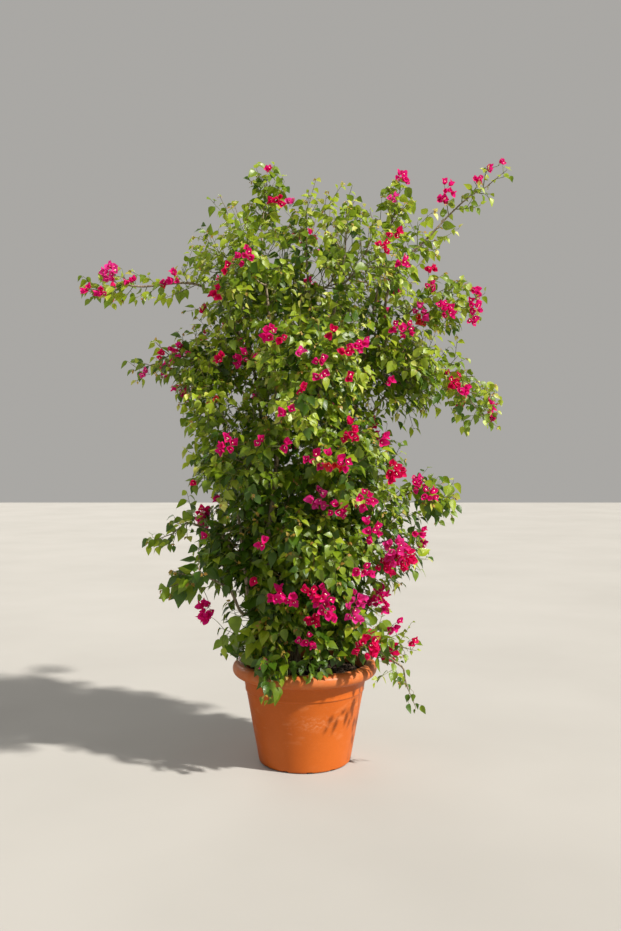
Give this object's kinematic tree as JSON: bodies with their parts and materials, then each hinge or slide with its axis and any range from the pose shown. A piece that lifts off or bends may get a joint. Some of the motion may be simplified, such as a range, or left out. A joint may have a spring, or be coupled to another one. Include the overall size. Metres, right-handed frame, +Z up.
{
  "type": "bougainvillea bush",
  "caption": "Upright flowering bougainvillea bush with loose arching shoots, heart-shaped leaves and magenta bracts, in a round tapered terracotta-coloured pot with a rolled rim.",
  "frame": {"origin": "middle of the pot's flat underside, on the ground", "axes": "+Z up; -Y towards the front of the bush as pictured; +X to the right of the front view"},
  "size_m": [1.2447, 0.9492, 1.7291],
  "materials": {
    "pot": "terracotta-coloured moulded plastic, satin, faint scuffs",
    "soil": null,
    "bark": "grey-brown woody stems, lightly furrowed, greener on young shoots",
    "foliage": null,
    "bract": null
  },
  "bodies": {
    "root": {"bough_back_high": "bark", "bough_back_left": "bark", "bough_far_left": "bark", "bough_far_right": "bark", "bough_front": "bark", "bough_left_high": "bark", "bough_left_low": "bark", "bough_left_middle": "bark", "bough_right_arch": "bark", "bough_right_high": "bark", "bough_right_low": "bark", "bough_right_middle": "bark", "foot_back_left": "foliage", "foot_back_right": "foliage", "foot_front_left": "foliage", "foot_front_right": "foliage", "high_back": "foliage", "high_front": "foliage", "high_left": "foliage", "high_right": "foliage", "low_back": "foliage", "low_front": "foliage", "low_left": "foliage", "low_right": "foliage", "middle_back_left": "foliage", "middle_back_right": "foliage", "middle_front_left": "foliage", "middle_front_right": "foliage", "pot": "pot", "soil": "soil", "spray_back_high": "foliage", "spray_back_left": "foliage", "spray_far_left": "bract", "spray_far_right": "foliage", "spray_front": "foliage", "spray_left_high": "foliage", "spray_left_low": "foliage", "spray_left_middle": "foliage", "spray_over_rim": "foliage", "spray_right_arch": "foliage", "spray_right_foot": "foliage", "spray_right_high": "bract", "spray_right_low": "foliage", "spray_right_middle": "foliage", "spray_top_centre": "foliage", "spray_top_left": "foliage", "spray_top_middle": "foliage", "spray_top_right": "bract", "stem_back": "bark", "stem_front_left": "bark", "stem_front_right": "bark", "stem_left": "bark", "stem_right": "bark", "stem_side": "bark", "top_back_left": "foliage", "top_back_right": "foliage", "top_front_left": "foliage", "top_front_right": "foliage", "trunk": "bark"}
  },
  "joints": []
}
